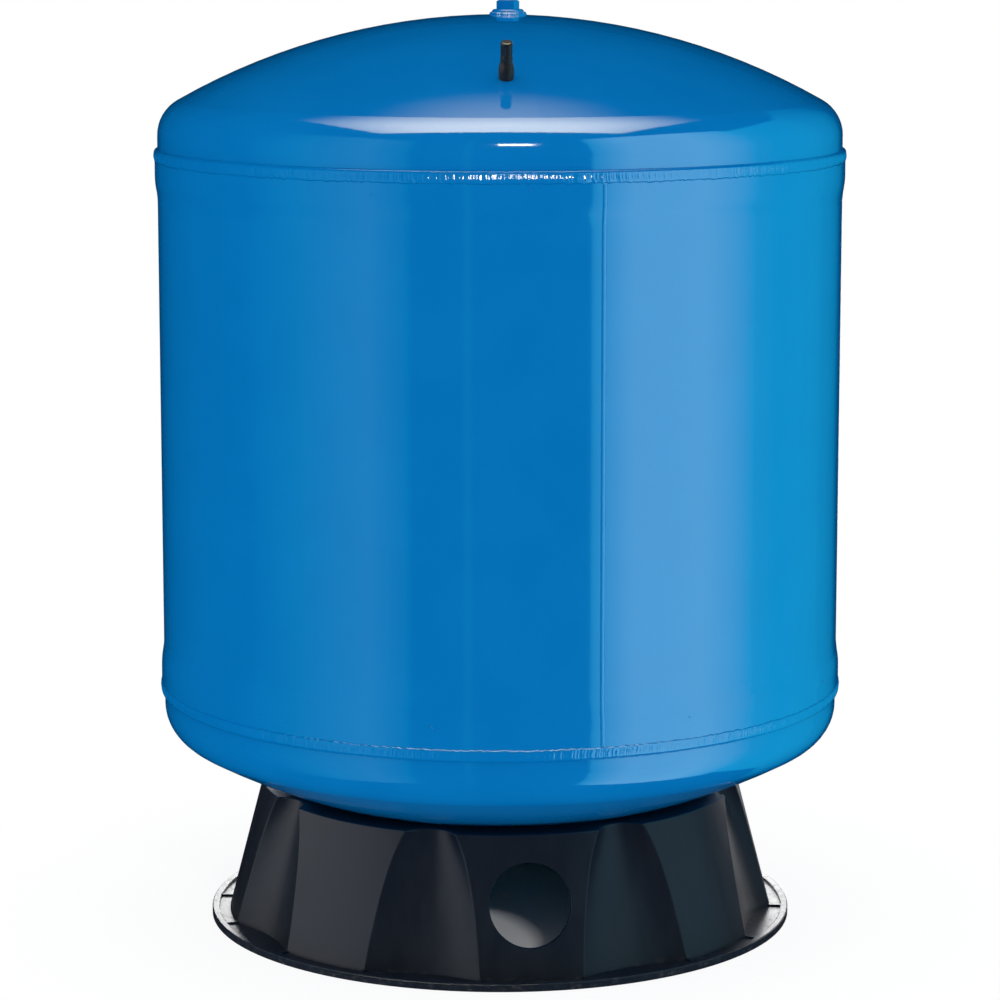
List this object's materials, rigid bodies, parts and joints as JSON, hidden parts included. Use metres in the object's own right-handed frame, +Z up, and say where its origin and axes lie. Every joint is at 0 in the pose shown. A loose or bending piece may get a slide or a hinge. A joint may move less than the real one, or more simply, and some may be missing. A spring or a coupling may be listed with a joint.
{
  "type": "well pressure tank",
  "caption": "Vertical steel pressure tank for a well pump, with a plugged port and air valve on the domed top and a fluted plastic base with a hole for the pipe.",
  "frame": {"origin": "on the floor under the tank's axis", "axes": "+Z up along the tank's axis, -Y towards the pipe hole in the base"},
  "size_m": [0.611, 0.6109, 0.8221],
  "materials": {
    "enamel": "gloss blue enamel",
    "base_plastic": "black moulded plastic, half gloss",
    "stem_rubber": "black moulded rubber",
    "cap_plastic": "black plastic",
    "bag_rubber": "dull black rubber",
    "guard_plastic": "natural white plastic",
    "brass": "turned brass",
    "stainless": "turned stainless steel"
  },
  "bodies": {
    "tank": {"shell": "enamel", "upper_head": "enamel", "lower_head": "enamel", "upper_seam_weld": "enamel", "lower_seam_weld": "enamel", "shell_seam_weld": "enamel", "plug_collar": "enamel", "collar_weld": "enamel", "top_plug": "enamel", "discharge_fitting": "stainless", "fitting_weld": "enamel", "outlet_guard": "guard_plastic", "bag_hanger": "brass", "water_bag": "bag_rubber", "lower_bag_tie": "stainless", "upper_bag_tie": "stainless", "valve_stem": "stem_rubber", "stem_tube": "brass", "valve_core": "brass", "core_spring": "stainless", "base": "base_plastic", "base_clips": "enamel"},
    "valve_cap": {"valve_cap": "cap_plastic", "cap_gasket": "stem_rubber"},
    "core_pin": {"core_pin": "brass", "core_seal": "stem_rubber"}
  },
  "joints": [
    {"name": "cap_off", "type": "slide", "parent": "tank", "child": "valve_cap", "axis": [-0.0353, -0.3881, 0.921], "range_m": [0, 0.016]},
    {"name": "pin_press", "type": "slide", "parent": "tank", "child": "core_pin", "axis": [0.0353, 0.3881, -0.921], "range_m": [0, 0.0008], "stiffness_N_per_m": 1500, "deforming": ["core_spring"]}
  ]
}
